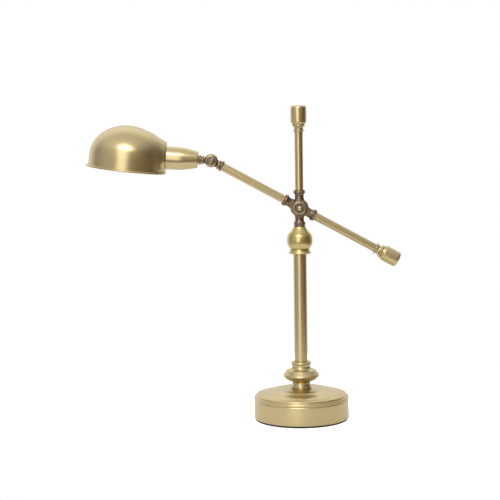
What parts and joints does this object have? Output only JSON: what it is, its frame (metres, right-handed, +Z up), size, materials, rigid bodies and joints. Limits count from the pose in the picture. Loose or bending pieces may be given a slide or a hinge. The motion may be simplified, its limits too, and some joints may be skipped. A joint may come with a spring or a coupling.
{
  "type": "desk lamp",
  "caption": "Swing arm desk lamp with a weighted round base, turned column, counterbalanced arm on a cross joint and a tilting half-dome metal shade.",
  "frame": {"origin": "centre of the felt pad's underside, on the table under the column", "axes": "+Z up along the column; the arm and the shade reach out towards -X and the tail towards +X; +Y is the back, where the lead enters the base"},
  "size_m": [0.5002, 0.1549, 0.5044],
  "materials": {
    "felt": "black pressed felt",
    "cast_iron": "rough grey casting",
    "shell_brass": "satin antique brass, brushed round the axis",
    "turned_brass": "satin antique brass, turned",
    "tube_brass": "satin antique brass, brushed along the tube",
    "ball_brass": "smooth antique brass, half gloss",
    "cup_brass": "smooth antique brass, half gloss",
    "shade_brass": "spun antique brass, fine brush lines round the axis",
    "antique_bronze": "dark antique bronze, rubbed on the edges",
    "knuckle_bronze": "antique bronze, rubbed bright on the ribs",
    "bolt_brass": "polished brass",
    "plated_disc": "dull nickel plate",
    "zinc_steel": "zinc plated",
    "dark_steel": "blackened, worn",
    "rubber": "matt black",
    "phenolic": "black moulded phenolic",
    "contact_brass": "rolled bright brass",
    "lead_insulation": "off-white insulation"
  },
  "bodies": {
    "stand": {"felt_pad": "felt", "base_weight": "cast_iron", "base_shell": "shell_brass", "base_nut": "zinc_steel", "base_washer": "zinc_steel", "cord_grommet": "rubber", "base_collar": "turned_brass", "column_tube": "tube_brass", "lamp_pipe": "zinc_steel", "ball_foot": "ball_brass", "ball_body": "ball_brass", "ball_cone": "ball_brass", "pipe_nut": "zinc_steel", "column_lead": "lead_insulation"},
    "upper": {"swivel_stud": "zinc_steel", "swivel_nut": "zinc_steel", "swivel_washer": "dark_steel", "column_casting": "antique_bronze", "upper_rod": "tube_brass", "upper_disc": "plated_disc", "upper_ferrule": "turned_brass", "upper_knob": "turned_brass", "pivot_bolt": "bolt_brass", "bolt_washer": "dark_steel", "ring_nut": "antique_bronze", "hub_washer": "zinc_steel", "spring_washer": "zinc_steel", "cap_nut": "bolt_brass"},
    "arm": {"arm_casting": "antique_bronze", "arm_tube": "tube_brass", "tail_tube": "tube_brass", "tail_disc": "plated_disc", "tail_ferrule": "turned_brass", "tail_knob": "turned_brass", "tail_plug": "dark_steel", "arm_lead": "lead_insulation", "arm_collar": "antique_bronze", "knuckle_arm_half": "antique_bronze"},
    "head": {"knuckle_head_half": "knuckle_bronze", "knuckle_screw": "dark_steel", "knuckle_washer": "zinc_steel", "knuckle_nut": "bolt_brass", "ribbed_neck": "knuckle_bronze", "cup_nut": "zinc_steel", "socket_cup": "cup_brass", "socket_base": "phenolic", "socket_sleeve": "phenolic", "screw_shell": "contact_brass", "centre_contact": "contact_brass", "terminal_screws": "contact_brass", "head_lead": "lead_insulation", "shade_ring": "phenolic", "shade": "shade_brass"}
  },
  "joints": [
    {"name": "column_swivel", "type": "hinge", "parent": "stand", "child": "upper", "pos_m": [0, 0, 0.3123], "axis": [0, 0, 1], "range_deg": [-170, 170]},
    {"name": "arm_pivot", "type": "hinge", "parent": "upper", "child": "arm", "pos_m": [0, 0, 0.342], "axis": [0, 1, 0], "range_deg": [-50, 12]},
    {"name": "head_tilt", "type": "hinge", "parent": "arm", "child": "head", "pos_m": [-0.13946, 0, 0.41899], "axis": [0, 1, 0], "range_deg": [-65, 45]}
  ]
}
